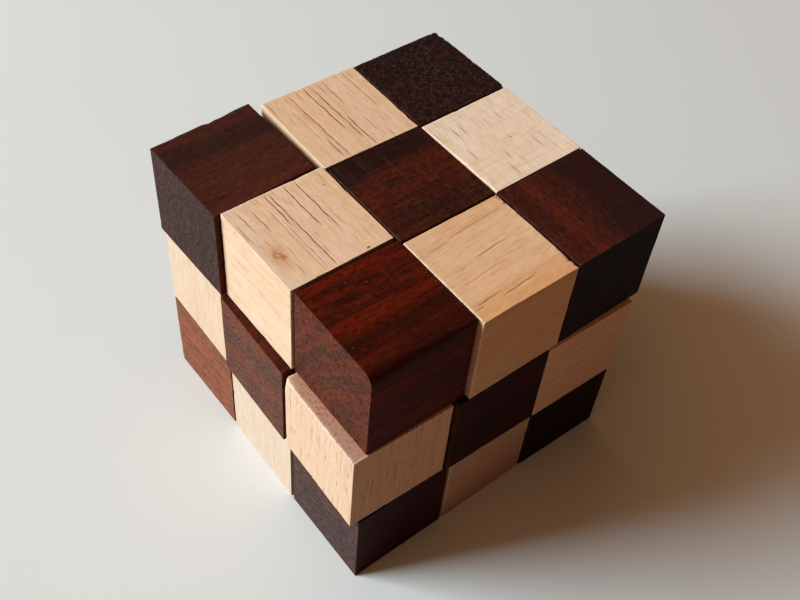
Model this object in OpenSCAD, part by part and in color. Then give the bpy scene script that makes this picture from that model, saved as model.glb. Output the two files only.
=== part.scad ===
// Snake cube puzzle: 27 wooden cubelets on one elastic cord, folded up into a 3 x 3 x 3 cube.
// Millimetres, +Z up. The origin is the centre of the underside of the bottom layer's middle cubelet.
// The cubelets are numbered along the cord, from 1 at one knot to 27 at the other.

/* [Cubelets] */
// Edge of one cubelet
cubelet_edge = 20; // [16:0.5:30]
// Bevel sanded along the edges of a cubelet
edge_bevel = 0.3; // [0.1:0.05:0.8]

/* [Gaps] */
// Room that two neighbours in a layer have to settle in, in hundredths of a cubelet edge
settle_room = 1; // [1:0.25:4]
// Gap left between the two when they have settled as close as they can
side_gap = 0.1; // [0.1:0.05:1]
// Gap between one layer and the next
layer_gap = 0.1; // [0.05:0.05:0.5]

/* [Bores] */
// Diameter of the bores that the cord runs through
bore_d = 5; // [4.1:0.1:9]
// How far each bore of a corner cubelet is drilled past the centre
bore_meet = 1.5; // [0.5:0.1:2.2]
// How far the blind bore of an end cubelet is drilled past the centre
end_bore_past = 5; // [3:0.5:7]

/* [Cord] */
// Diameter of the elastic cord
cord_d = 2.5; // [1.2:0.1:3]
// Distance from the centre at which the cord starts to bend inside a cubelet
cord_bend = 1.5; // [0.5:0.1:2]
// Clearance between a knot and the wall of its blind bore
knot_play = 0.3; // [0.1:0.05:0.5]
// Clearance between a knot and the bottom of its blind bore
knot_slack = 0.3; // [0.1:0.1:1]

/* [Motion] */
// How far one link opens when its two cubelets are pulled apart
link_pull = 5; // [2:0.5:7]
// Cord that stays inside the bore when a link is fully open
pull_cover = 1; // [0.5:0.5:2]
// Slit between the butted ends of two cord lengths
cord_slit = 0.2; // [0.1:0.05:0.5]
// Depth of a turning cord length in the cubelet above it
turn_seat = 3; // [2:0.5:5]

/* [Hidden] */
ROOT = 5;           // the cubelet that the others are joined to, directly or through the chain
LAST = 27;
LAYER = 9;          // cubelets in a layer
$fn = 48;
cord_sides = 8;     // flats round a bent length of cord
bend_steps = 4;     // steps in its bend

pitch = cubelet_edge * (1 + settle_room / 100) + side_gap;
layer_pitch = cubelet_edge + layer_gap;
knot_d = bore_d - 2 * knot_play;
reach = link_pull + pull_cover;
past_face = 1;      // how far a drilling tool starts outside the wood

// How each cubelet has settled, in order along the cord:
// shift to +X and to +Y in hundredths of a cubelet edge, then turn about Z in degrees.
SETTLE = [
    [ 1,  3.5,  0.5], [ 0,  4,  0], [ 0,  5,  0.5], [-1,  1.5, -0.5], [ 0, 0,  0], [ 1,  1, -0.5],
    [ 1.5, -1.5, -1], [ 0, -0.5, 0.5], [-1.5, -1, 0],
    [-8.5, -0.5, -1.5], [-6, -5, -1], [-6, -7, -1], [-3,  0.5, -0.5], [-4,  1.5, -1],
    [-5.5,  3, -1.5], [-0.5,  6, -1], [ 0.5,  4.5, -0.5], [ 1.5,  2,  0],
    [ 2.5, -3,  0.5], [ 3, -3.5,  0.5], [ 4, -3.5,  0.5], [ 3, -4.5, 0], [ 3, -3.5, 0],
    [ 2.5, -2, -0.5], [-3.5,  4.5, 1], [ 2.5,  3.5, 0], [ 3.5,  1.5, -0.5],
];

function unit(v) = v / norm(v);
function two_digits(n) = n < 10 ? str("0", n) : str(n);
function cubelet_name(n) = str("cubelet_", two_digits(n), "_", kind(n));
function cord_name(n) = str("cord_", two_digits(n));

// The route of the cord. Each layer is filled in three rows, there and back and there again.
function layer_of(n) = floor((n - 1) / LAYER);
function row_of(n) = floor(((n - 1) % LAYER) / 3);
function step_of(n) = (n - 1) % 3;
function along(n) = row_of(n) % 2 == 0 ? 1 - step_of(n) : step_of(n) - 1;
function across(n) = 1 - row_of(n);
// Cell of a cubelet in the cube: column, row and layer, with 0 in the middle of the bottom layer.
function cell(n) = layer_of(n) == 0 ? [along(n), across(n), 0]
                 : layer_of(n) == 1 ? [-along(n), -across(n), 1]
                 : [across(n), along(n), 2];

// Centre of a cubelet after settling.
function settled(n) = let (s = SETTLE[n - 1] * cubelet_edge / 100) [s.x, s.y, 0];
function turn(n) = SETTLE[n - 1][2];
function centre(n) = [cell(n).x * pitch, cell(n).y * pitch, cubelet_edge / 2 + cell(n).z * layer_pitch]
                   + settled(n);

// Links. Link k joins cubelets k and k + 1, and its child is the one further from the root.
function towards(n, m) = cell(m) - cell(n);
function link_mid(n, m) = (centre(n) + centre(m)) / 2;
function is_turning(n, m) = layer_of(n) != layer_of(m);
function is_child(n, m) = abs(n - ROOT) > abs(m - ROOT);
function neighbours(n) = [if (n > 1) n - 1, if (n < LAST) n + 1];
function kind(n) = len(neighbours(n)) == 1 ? "end"
                 : towards(n, n - 1) == -towards(n, n + 1) ? "straight" : "corner";

// Where the cord length in cubelet n ends, on its way to cubelet m, counted from the joint face.
function cord_overrun(n, m) = is_turning(n, m) && is_child(n, m) ? -turn_seat - cord_slit / 2
                            : is_child(n, m) ? reach - cord_slit / 2
                            : -reach - cord_slit / 2;
function cord_end(n, m) = link_mid(n, m) + towards(n, m) * cord_overrun(n, m);
// Where that length leaves the straight line of the link, close to the centre of cubelet n.
function cord_turnoff(n, m) = let (d = towards(n, m), c = centre(n), l = link_mid(n, m))
    [for (i = [0:2]) d[i] == 0 ? l[i] : c[i] + d[i] * cord_bend];
function knot_centre(n) = let (d = towards(n, neighbours(n)[0]))
    centre(n) - d * (end_bore_past - knot_d / 2 - knot_slack);

// A cylinder or a bore from point a to point b.
module rod(a, b, d) {
    v = b - a;
    translate(a)
        rotate([0, acos(v.z / norm(v)), atan2(v.y, v.x)])
            cylinder(d = d, h = norm(v));
}

// A square outline with its four corners cut off.
module bevelled_square(edge, bevel) {
    h = edge / 2;
    i = h - bevel;
    polygon([[-h, -i], [-i, -h], [i, -h], [h, -i], [h, i], [i, h], [-i, h], [-h, i]]);
}

// A cube centred on the origin, with all its edges bevelled.
module bevelled_cube(edge, bevel) {
    intersection_for (r = [[0, 0, 0], [90, 0, 0], [0, 90, 0]])
        rotate(r)
            linear_extrude(edge, center = true)
                bevelled_square(edge, bevel);
}

// A bore drilled in from the face that looks along d, to a depth past the centre.
module bore(d, past) {
    rod(-d * past, d * (cubelet_edge / 2 + past_face), bore_d);
}

// One cubelet, with the bores that its place in the chain needs.
module cubelet(n) {
    color(n % 2 == 1 ? "#45190f" : "#dfba90")
        translate(centre(n))
            rotate([0, 0, turn(n)])
                difference() {
                    bevelled_cube(cubelet_edge, edge_bevel);
                    if (kind(n) == "straight")
                        bore(towards(n, n + 1), cubelet_edge / 2 + past_face);
                    else
                        for (m = neighbours(n))
                            bore(towards(n, m), kind(n) == "end" ? end_bore_past : bore_meet);
                }
}

// A closed tube swept along points. The tangents give each ring's plane, and side lies in every plane.
module swept_cord(points, tangents, side) {
    rings = [for (i = [0:len(points) - 1])
        let (u = unit(cross(side, tangents[i])), v = unit(cross(tangents[i], u)))
        for (a = [0:cord_sides - 1])
            points[i] + cord_d / 2 * (u * cos(360 * a / cord_sides) + v * sin(360 * a / cord_sides))];
    last = cord_sides * (len(points) - 1);
    walls = [for (i = [0:len(points) - 2]) for (a = [0:cord_sides - 1])
        let (r = i * cord_sides, b = (a + 1) % cord_sides)
        each [[r + a, r + cord_sides + a, r + b], [r + b, r + cord_sides + a, r + cord_sides + b]]];
    polyhedron(rings, concat(
        [[for (a = [0:cord_sides - 1]) a]],
        walls,
        [[for (a = [cord_sides - 1:-1:0]) last + a]]
    ));
}

// The length of the elastic cord that moves with cubelet n.
module cord(n) {
    color("#26231f")
        if (kind(n) == "end") {
            rod(cord_end(n, neighbours(n)[0]), knot_centre(n), cord_d);
            translate(knot_centre(n))
                sphere(d = knot_d);
        } else {
            from = -towards(n, n - 1);
            to = towards(n, n + 1);
            enter = cord_turnoff(n, n - 1);
            leave = cord_turnoff(n, n + 1);
            bend = [for (i = [0:bend_steps]) let (s = i / bend_steps)
                enter * (1 - s) * (1 - s) + centre(n) * 2 * s * (1 - s) + leave * s * s];
            headings = [for (i = [0:bend_steps]) let (s = i / bend_steps) unit(from * (1 - s) + to * s)];
            swept_cord(
                concat([cord_end(n, n - 1)], bend, [cord_end(n, n + 1)]),
                concat([from], headings, [to]),
                from == to ? [to.y, to.z, to.x] : cross(from, to)
            );
        }
}

// The upright length of cord between two layers: it is pulled out of the lower cubelet,
// and the layers above turn on it.
module turning_cord(n) {
    color("#26231f")
        rod(link_mid(n, n + 1) - [0, 0, reach - cord_slit / 2],
            link_mid(n, n + 1) + [0, 0, turn_seat - cord_slit / 2],
            cord_d);
}

for (n = [1:LAST]) {
    cubelet(n);
    cord(n);
}
turning_cord(LAYER);  // cord_lower_turn
turning_cord(2 * LAYER);  // cord_upper_turn
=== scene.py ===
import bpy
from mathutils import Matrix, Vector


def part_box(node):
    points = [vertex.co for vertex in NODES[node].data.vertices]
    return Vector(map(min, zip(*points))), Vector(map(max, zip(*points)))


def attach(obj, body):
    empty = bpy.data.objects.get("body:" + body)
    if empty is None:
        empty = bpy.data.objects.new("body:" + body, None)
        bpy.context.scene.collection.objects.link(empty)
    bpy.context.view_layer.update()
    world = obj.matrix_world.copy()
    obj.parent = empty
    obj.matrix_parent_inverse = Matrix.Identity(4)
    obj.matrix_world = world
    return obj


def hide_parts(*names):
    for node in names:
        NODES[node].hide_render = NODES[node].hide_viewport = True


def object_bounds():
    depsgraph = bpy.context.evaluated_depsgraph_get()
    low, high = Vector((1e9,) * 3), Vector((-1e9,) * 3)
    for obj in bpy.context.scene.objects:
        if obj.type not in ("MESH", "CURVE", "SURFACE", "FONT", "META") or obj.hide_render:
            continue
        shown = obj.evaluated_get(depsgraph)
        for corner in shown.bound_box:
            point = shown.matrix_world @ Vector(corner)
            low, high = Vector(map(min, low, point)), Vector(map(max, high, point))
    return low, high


bl_info = {
    "name": "Wooden Snake Cube",
    "version": (1, 0, 0),
    "blender": (4, 5, 0),
    "location": "View3D > Sidebar > Snake Cube",
    "description": "Wood, elastic cord and a plain studio stage for a snake cube puzzle of 27 cubelets",
    "category": "Object",
}

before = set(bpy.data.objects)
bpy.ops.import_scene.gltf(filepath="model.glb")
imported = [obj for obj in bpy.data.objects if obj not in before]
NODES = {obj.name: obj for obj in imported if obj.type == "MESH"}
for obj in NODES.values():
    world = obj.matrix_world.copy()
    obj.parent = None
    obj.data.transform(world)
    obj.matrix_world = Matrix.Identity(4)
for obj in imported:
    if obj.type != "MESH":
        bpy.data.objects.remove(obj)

import math
from functools import reduce
from itertools import product

import bmesh
import bpy
import numpy as np
from mathutils import Matrix, Vector

MM = 0.001
LAST = 27                   # cubelets along the cord
FACE_BAND = 0.35            # how close to a face's plane the points of a bore's mouth lie, in mm
CAD_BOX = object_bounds()
SIGNS = (-1, 1)

# The pale band on the -X face is painted light: it makes that face paler and cooler, as the window's light
# falls there.
# The cubelets by their number along the cord. Odd ones are dark wood and even ones are light.
# grain: the axis that the fibres run along. lean: how far they slant to the edge.
# tint: colour against plain wood. end_tint: the same on the end grain.
# figure: how strong the growth bands are. figured: how strong the finer streaks are.
# pith: where the middle of the tree lay, in mm across the fibres.
# The streaks run along the fibres, each with its place across them and its radius, in mm.
# dashes: short pores. flecks: pale specks of the end grain. scratches: sanding marks left across the grain.
# veins: long pores on each outside face.
# lines: the long pores of the top face, each with its place across it and where it starts and stops along it,
# in hundredths of an edge, and how dark it is. line_width: how wide they are.
# knot, specks: a small pin knot and small dark specks, in hundredths of an edge from the centre.
# tear: how ragged the cut ends are. ragged: edges that are torn more.
# fall: how far the top slopes down to the -X side, in mm.
# wear: rubbed edges, each with its two faces, where along the edge (-1 to 1), how far and what radius (mm).
NO_STREAK = (0.0, 0.0, -9.0)
PLAIN = {
    "grain": "X", "lean": 0.0, "tint": (1.0, 1.0, 1.0), "end_tint": (1.0, 1.0, 1.0), "figure": 1.0,
    "figured": 1.0, "pith": (-38.0, -30.0, 0.0), "red_streak": NO_STREAK, "black_streak": NO_STREAK,
    "second_black": NO_STREAK, "pale_streak": NO_STREAK, "tan_streak": NO_STREAK, "dashes": 0.6,
    "flecks": 0.1, "scratches": 0.15, "veins": 8, "lines": (), "line_width": 1.0, "knot": None, "specks": (),
    "tear": 0.5, "ragged": (), "fall": 0.0, "wear": (),
}
LOOKS = {
    3: {"grain": "Y", "tint": (4.9, 9.3, 10.8), "figure": 0.3, "figured": 0.7, "veins": 4},
    4: {"grain": "Z", "tint": (0.94, 1.11, 1.4), "figure": 0.4, "dashes": 0.2, "veins": 3},
    # 7's tint: partly its wood's tone and partly painted shade, matched on its -Y face, which lies in shade.
    7: {"tint": (0.12, 0.04, 0.04)},
    8: {"figure": 0.4, "tint": (0.80, 0.72, 0.78), "dashes": 0.3, "veins": 3},
    # 9's tint: partly its wood's tone and partly painted shade, matched on its -Y face, which lies in shade.
    9: {"figure": 0.5, "tint": (0.5, 0.38, 0.65), "end_tint": (1.35, 1.6, 1.9), "pith": (-5.0, -48.0, 0.0)},
    10: {"grain": "Z", "tint": (1.02, 0.94, 1.0), "end_tint": (1.07, 0.82, 0.81), "dashes": 0.8, "veins": 12,
         # Painted light: the pale band on the next line lies over the -X face, paler and cooler where the
         # window's light falls.
         "ragged": (("-X", "-Z"),), "pale_streak": (-60.0, 0.0, 51.8),
         "wear": (("-X", "+Z", 1.0, 2.5, 0.8), ("-X", "+Y", 1.0, 2.0, 0.8))},
    # 11's tint: partly its wood's tone and partly painted shade, matched on its -Y face, which lies in shade.
    11: {"tint": (0.32, 0.05, 0.04)},
    12: {"tint": (1.1, 0.96, 0.98), "dashes": 0.5, "veins": 5},
    15: {"figure": 0.6, "end_tint": (2.35, 1.8, 1.58), "pith": (-8.0, -46.0, 0.0)},
    16: {"grain": "Z", "tint": (0.95, 1.07, 1.28), "figure": 0.5, "dashes": 0.2, "veins": 3,
         "ragged": (("-X", "+Z"), ("-X", "-Y"))},
    19: {"grain": "Z", "end_tint": (0.42, 0.24, 0.28), "figure": 0.3, "flecks": 0.85, "tear": 2.0,
         "ragged": (("+X", "+Z"), ("+Y", "+Z"))},
    20: {"grain": "Y", "tint": (1.16, 1.25, 1.50), "dashes": 0.3, "scratches": 3.0, "tear": 1.0, "veins": 0,
         "figure": 0.3, "ragged": (("-X", "+Z"),), "line_width": 2.5, "specks": ((8, -4, 50),),
         "lines": ((-47, 20, 44, 0.27), (-36, 6, -13, 0.47), (-30, 36, 16, 0.47), (-22, 36, 17, 0.43),
                   (-17, -26, -47, 0.39), (-10, -11, -27, 0.47), (-3, 28, 10, 0.27), (3, 30, 15, 0.35),
                   (7, 5, -8, 0.31), (18, 32, 16, 0.39), (24, -10, -32, 0.31), (33, -8, -24, 0.27),
                   (41, 20, -2, 0.20))},
    21: {"grain": "Y", "figure": 0.25, "figured": 0.8, "tint": (1.12, 1.22, 1.4),
         # 21's end_tint: partly its wood's tone and partly painted shade, matched on its -Y end face, which
         # lies in shade.
         "end_tint": (0.12, 0.06, 0.07), "pith": (10.0, -60.0, 0.0), "red_streak": (10.0, -4.8, 0.4),
         "black_streak": (10.0, 6.4, 4.6), "veins": 2},
    22: {"lean": 0.07, "tint": (1.03, 0.90, 0.82), "tan_streak": (-9.0, 12.0, 2.4), "dashes": 0.25,
         "tear": 1.2, "line_width": 0.85, "ragged": (("+X", "+Z"),), "pith": (-45.0, 5.0, 0.0),
         "lines": ((-42, 5, 20, 0.2), (-34, -50, -36, 1.0), (-31, -46, -17, 0.8), (-36, -22, 18, 0.9),
                   (-24, 32, 50, 0.5), (-10, -38, 12, 0.4), (-3, 8, 26, 0.35), (3, -34, -24, 0.8),
                   (6, -14, 26, 0.9), (22, -30, 44, 0.25), (32, -40, -18, 0.6), (34.5, -16, 44, 0.6),
                   (38, -36, -18, 0.4), (42, -20, 36, 0.35))},
    23: {"scratches": 0.7, "figure": 0.45, "pith": (-50.0, 12.0, 0.0), "red_streak": (-0.8, 10.0, 0.8),
         "black_streak": (8.6, 10.0, 2.8), "veins": 4},
    24: {"grain": "Y", "lean": -0.02, "tint": (1.05, 0.98, 1.02), "dashes": 0.5, "figure": 0.6,
         "pith": (8.0, -55.0, 0.0),
         "lines": ((-46, 27, 50, 0.89), (-39, 7, 20, 0.77), (-28, -48, -18, 1.0), (-32, -22, 30, 0.47),
                   (-23, -50, 48, 0.89), (-14, 33, 50, 0.77), (-6, -20, 50, 1.0), (1, -37, 44, 0.95),
                   (5, -50, -2, 1.0), (8, 28, 50, 0.65), (14, 10, 49, 0.77), (17, -35, -12, 0.65),
                   (25, -50, -35, 1.0), (37, -8, 50, 0.71), (30, 20, 50, 0.29))},
    25: {"tint": (1.33, 1.72, 1.95), "end_tint": (1.05, 1.02, 1.12), "figure": 0.25, "figured": 0.55,
         "pith": (-60.0, -14.0, 0.0), "black_streak": (5.0, 10.0, 2.2), "fall": 0.5, "veins": 3,
         "wear": (("+Y", "+Z", 0.18, 1.0, 0.7), ("+Y", "+Z", 0.4, 2.0, 0.5))},
    26: {"grain": "Y", "lean": -0.02, "dashes": 0.5, "figure": 0.5, "tint": (1.09, 1.03, 1.09), "tear": 1.0,
         # Painted light: the pale band on the next line lies over the -X face, paler and cooler where the
         # window's light falls.
         "pale_streak": (0.0, -60.0, 51.8), "pith": (10.0, -60.0, 0.0), "knot": (-37.0, -14.0, 50.0),
         "specks": ((39, 31, 50), (27, -47, 50)), "ragged": (("-X", "-Y"),),
         "lines": ((-46, 0, 34, 0.59), (-38, 14, 46, 0.71), (-31, -46, -24, 0.59), (-27, 8, 40, 0.77),
                   (-15.5, -50, 34, 0.47), (-12.5, -50, 20, 0.47), (-9, 6, 50, 1.0), (-5, -50, 48, 0.95),
                   (5, 23, 34, 0.65), (10, -8, 50, 1.0), (21, -18, 50, 1.0), (24, -40, -26, 0.41),
                   (36, -46, -20, 0.35))},
    27: {"tint": (1.28, 0.66, 0.38), "end_tint": (1.6, 0.95, 0.76), "figure": 0.75, "veins": 9,
         "red_streak": (-0.4, 10.0, 0.8), "black_streak": (-3.4, 10.0, 0.9),
         "second_black": (-9.4, 10.0, 1.6), "wear": (("-Y", "+Z", -1.0, 16.0, 2.0),)},
}


def look_of(number):
    """The look of a cubelet: what LOOKS gives it, over the plain one."""
    hidden = {"grain": "XYZ"[number % 3]}
    return {**PLAIN, **LOOKS.get(number, hidden)}


def length_property(name, description, value, least, most):
    """A small length that a user can change, given in millimetres."""
    return bpy.props.FloatProperty(
        name=name, description=description, default=value * MM, min=least * MM, max=most * MM, unit="LENGTH",
        precision=5)


class SnakeCubeSizes(bpy.types.PropertyGroup):
    """Sizes that a user would change."""
    arris: length_property("Arris", "Rounding of a cubelet's sharpest edges", 0.08, 0.02, 0.5)
    tear: length_property("Torn fibre", "Depth of the nicks where the saw tore the cut ends", 0.18, 0.0, 0.6)
    pore_width: length_property("Pore width", "Width of an open pore", 0.27, 0.05, 0.6)
    pore_depth: length_property("Pore depth", "Depth of an open pore", 0.012, 0.0, 0.3)
    strand_relief: length_property("Strand relief", "How far the sheath's strands stand out", 0.09, 0.0, 0.3)
    floor: length_property("Floor", "Length of the stage's floor on each side", 3000.0, 500.0, 10000.0)


def colour_property(name, description, value):
    """A colour that a user can change, in linear red, green and blue."""
    return bpy.props.FloatVectorProperty(
        name=name, description=description, default=value, size=3, min=0.0, max=1.0, subtype="COLOR")


class SnakeCubeColours(bpy.types.PropertyGroup):
    """Colours that a user would change."""
    light_wood: colour_property("Light wood", "Pale hardwood along the grain", (0.745, 0.475, 0.30))
    light_rose: colour_property("Light rose", "Rosier growth bands of the pale wood", (0.75, 0.455, 0.28))
    light_late: colour_property("Light bands", "Darker lines of the pale wood", (0.60, 0.33, 0.165))
    light_end: colour_property("Light end grain", "Pale hardwood across the grain", (0.47, 0.27, 0.18))
    light_pore: colour_property("Light pores", "Open pores of the pale wood", (0.20, 0.045, 0.009))
    dark_wood: colour_property("Dark wood", "Dark hardwood along the grain", (0.048, 0.0078, 0.0038))
    dark_red: colour_property("Red streaks", "Red streaks of the dark wood", (0.110, 0.0125, 0.0040))
    dark_black: colour_property("Black streaks", "Black streaks of the dark wood", (0.011, 0.0045, 0.0035))
    dark_end: colour_property("Dark end grain", "Dark hardwood across the grain", (0.036, 0.022, 0.019))
    dark_end_red: colour_property("Red end grain", "Redder rings of the end grain", (0.085, 0.025, 0.015))
    dark_fleck: colour_property("Dark flecks", "Pale specks of the dark end grain", (0.074, 0.038, 0.021))
    dark_pore: colour_property("Dark pores", "Open pores of the dark wood", (0.005, 0.003, 0.002))
    cord: colour_property("Cord", "Sheath of the elastic cord", (0.030, 0.028, 0.027))
    # Painted highlight: the strands' crowns are paler, and the grooves between them stay darker as painted
    # shade.
    cord_crown_highlight: colour_property("Cord fleck", "Crowns of the sheath's strands", (0.085, 0.080, 0.076))
    floor: colour_property("Floor", "Floor of the stage", (0.715, 0.67, 0.68))
    backdrop: colour_property("Backdrop", "Even pale surroundings past the floor", (0.72, 0.71, 0.69))
    bounce: colour_property("Bounce", "What the floor throws back on the cube", (0.40, 0.275, 0.205))
    fill: colour_property("Fill light", "Light from all round", (0.74, 0.41, 0.19))


# ---------------------------------------------------------------- the frame

def node_of(number):
    """The name of the CAD node of a cubelet."""
    return next(name for name in NODES if name.startswith(f"cubelet_{number:02d}_"))


def box_of(node):
    """The two corners of a CAD node's box, in millimetres."""
    low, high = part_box(node)
    return np.array(low) / MM, np.array(high) / MM


def centre_of(number):
    """The centre of a cubelet, in millimetres."""
    low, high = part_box(node_of(number))
    return (np.array(low) + np.array(high)) / 2 / MM


def edge_of(number):
    """The edge of a cubelet in millimetres: its height, because a cubelet only turns about Z."""
    low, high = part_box(node_of(number))
    return (high[2] - low[2]) / MM


def turn_of(number):
    """How far a cubelet has turned about Z, from the way that its +X face looks."""
    total = Vector((0.0, 0.0, 0.0))
    for face in NODES[node_of(number)].data.polygons:
        if face.normal.x > 0.99:
            total += face.normal * face.area
    return math.atan2(total.y, total.x)


def towards(number, other):
    """The direction of the link from one cubelet to the next one along the cord."""
    apart = centre_of(other) - centre_of(number)
    way = np.zeros(3)
    axis = main_axis(apart)
    way[axis] = math.copysign(1.0, apart[axis])
    return way


def neighbours(number):
    """The cubelets that the cord joins to this one."""
    return [other for other in (number - 1, number + 1) if 1 <= other <= LAST]


def bore_radius(number):
    """The radius of a cubelet's bore, in millimetres, measured on its CAD node's mesh."""
    way = towards(number, neighbours(number)[0])
    places = np.array([vertex.co for vertex in NODES[node_of(number)].data.vertices]) / MM
    local = places - centre_of(number)
    mouth = local[np.abs(local @ way - edge_of(number) / 2) < FACE_BAND]
    return float(np.linalg.norm(mouth - np.outer(mouth @ way, way), axis=1).min())


def other_axes(axis):
    """The two axes besides this one, in order."""
    return [other for other in range(3) if other != axis]


def main_axis(way):
    """The axis that a direction lies closest to."""
    return int(np.argmax(np.abs(way)))


# ---------------------------------------------------------------- cubelet meshes
# A cubelet's mesh is built in millimetres about its centre, with its fibres along Z.

GRAIN_TURN = {
    "X": Matrix(((0, 0, 1), (1, 0, 0), (0, 1, 0))),
    "Y": Matrix(((0, 1, 0), (0, 0, 1), (1, 0, 0))),
    "Z": Matrix.Identity(3),
}
NEAR_EDGE = (0.06, 0.13, 0.3, 0.6, 1.2, 2.0)   # lines of a face that follow its edges, in mm from them
EDGE_STEP = (0.22, 0.22, 0.5)            # steps along an edge, across and along the fibres
FACE_STEP = (1.1, 1.1, 0.8)              # steps of a face's own lines
GROOVE = (-1.0, -0.45, 0.45, 1.0)        # lines of one groove, in half widths from its middle
PORE_TAPER = 1.4                         # length over which a groove runs out, in mm
PORE_SWAY = 0.05                         # how far a groove sways, for each of its two waves, in mm
PORE_MARGIN = 1.2                        # how far a face's scattered pores keep from its sides, in mm
MOUTH_SIDES = 64                         # points round the mouth of a bore
MOUTH_START = 2.6                        # where the rings about a mouth start, in mm from the face's edges
MOUTH_ROUND = (0.2, 0.45, 0.7, 0.88, 1.0)      # how they pass from square to round
MOUTH_EASE = 0.2                         # rounding of the mouth, in mm
BLIND_DEPTH = 0.5                        # how far a blind bore goes past the centre, in half edges
HIDDEN_VEINS = 3                         # long pores on a face that a neighbour covers
NICK_REACH = 0.29                        # how far an edge moves in for each unit of its rounding
ROUNDING_PLACES = 161                    # places along an edge at which its rounding is set
ROUNDING_RANGE = (0.04, 4.0)             # least and most rounding, in mm
ARRIS_WAVE = 0.22                        # how much each of an edge's three waves changes its rounding
RIPPLES = 5                              # waves that sanding leaves on a face
RIPPLE = 0.006                           # height of each, in mm
FULL_TURN = 6.28                         # the range of a wave's phase
EDGE_HIGHLIGHT_BAND = 0.3                         # width of the marked band along every edge, in mm
RIM_BAND = 0.45                          # width of the marked band along the cut ends' edges, in mm
LOOK_VECTORS = ("tint", "end_tint", "pith", "red_streak", "black_streak", "second_black", "pale_streak",
                "tan_streak")
LOOK_NUMBERS = ("figure", "figured", "dashes", "flecks", "scratches", "lean")
NOWHERE = Vector((999.0, 999.0, 999.0))  # the place of a knot or a speck that a cubelet hasn't got


class Shell:
    """The points, faces and marks of one cubelet while it is made."""

    def __init__(self, half):
        self.half = half
        self.points = []
        self.faces = []
        self.marks = {"pore": [], "end_grain": [], "bore_wall": []}
        self.count = 0
        self.sunk = []

    def add(self, points, sunk=0.0, **marks):
        """Adds points, each with how far it is sunk along the inward normal, and gives their numbers."""
        points = np.asarray(points, float).reshape(-1, 3)
        self.points.append(points)
        for name, rows in self.marks.items():
            rows.append(np.broadcast_to(marks.get(name, 0.0), len(points)))
        self.sunk.append(np.broadcast_to(sunk, len(points)))
        self.count += len(points)
        return np.arange(self.count - len(points), self.count)

    def zip(self, outer, outer_place, inner, inner_place):
        """Fills the strip between two closed loops whose points are placed from 0 to 8 round a square."""
        outer, outer_place = started_at_zero(outer, outer_place)
        inner, inner_place = started_at_zero(inner, inner_place)
        i = j = 0
        while i < len(outer) or j < len(inner):
            a, b = outer[i % len(outer)], inner[j % len(inner)]
            next_outer = outer_place[i + 1] if i < len(outer) else math.inf
            next_inner = inner_place[j + 1] if j < len(inner) else math.inf
            if next_outer <= next_inner:
                i += 1
                self.faces.append([a, outer[i % len(outer)], b])
            else:
                j += 1
                self.faces.append([a, inner[j % len(inner)], b])


def woven(rows):
    """The quads that join each row of point numbers to the next one."""
    quads = np.stack([rows[:-1, :-1], rows[:-1, 1:], rows[1:, 1:], rows[1:, :-1]], axis=-1)
    return quads.reshape(-1, 4).tolist()


def woven_round(rings):
    """The same for closed rings of point numbers."""
    rings = np.asarray(rings)
    return woven(np.hstack([rings, rings[:, :1]]))


def angles(count):
    """Evenly spaced angles round a circle."""
    return np.arange(count) * 2 * math.pi / count


def circle(turns, level, side):
    """Points round a circle that is counted from level towards side."""
    return np.outer(np.cos(turns), level) + np.outer(np.sin(turns), side)


def wave(rng, along, low, high):
    """A wave of random pace and phase. low and high bound how far it turns in a millimetre."""
    return np.sin(along * rng.uniform(low, high) + rng.uniform(0, FULL_TURN))


def bulge(along, middle, spread):
    """1 at the middle, falling off smoothly to both sides."""
    return np.exp(-((along - middle) / spread) ** 2)


def started_at_zero(loop, place):
    """A loop turned so that its places rise from its first point, with the closing place added."""
    start = int(np.argmin(place))
    return np.roll(loop, -start), np.append(np.roll(place, -start), 8.0 + place[start])


def place_on_square(across, up):
    """Where points lie round a square, from 0 to 8 and anticlockwise from its lower left corner."""
    reach = np.maximum(np.abs(across), np.abs(up))
    x, y = across / reach, up / reach
    side = 1 - 1e-9
    place = np.where(y <= -side, x + 1, np.where(x >= side, y + 3, np.where(y >= side, 5 - x, 7 - y)))
    return np.mod(place, 8.0)


def evened(reach, step):
    """Places from -reach to reach at even steps."""
    return np.linspace(-reach, reach, int(round(2 * reach / step)) + 1)


def edge_stations(half, step):
    """Stations along an edge from corner to corner, closer together next to the corners."""
    even = evened(half - NEAR_EDGE[1], step)
    return np.concatenate([[-half, -half + NEAR_EDGE[0]], even, [half - NEAR_EDGE[0], half]])


def face_lines(half, step):
    """The lines of a face across one direction, closer together next to its edges."""
    near = half - np.array(NEAR_EDGE)
    return np.concatenate([-near[:-1], evened(near[-1], step), near[:-1][::-1]])


def make_edges(shell):
    """Adds the eight corners and the points of the twelve edges. Gives the points by edge."""
    half = shell.half
    corners = {signs: shell.add(np.array(signs) * half, end_grain=0.5)[0]
               for signs in product(SIGNS, repeat=3)}
    edges = {}
    for axis, a, b in product(range(3), SIGNS, SIGNS):
        stations = edge_stations(half, EDGE_STEP[axis])
        first, second = other_axes(axis)
        points = np.zeros((len(stations), 3))
        points[:, axis], points[:, first], points[:, second] = stations, a * half, b * half
        start, stop = [corners[tuple(np.sign(point).astype(int))] for point in (points[0], points[-1])]
        inner = shell.add(points[1:-1], end_grain=0.0 if axis == 2 else 0.5)
        edges[axis, a, b] = (np.concatenate([[start], inner, [stop]]), stations)
    return edges


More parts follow.
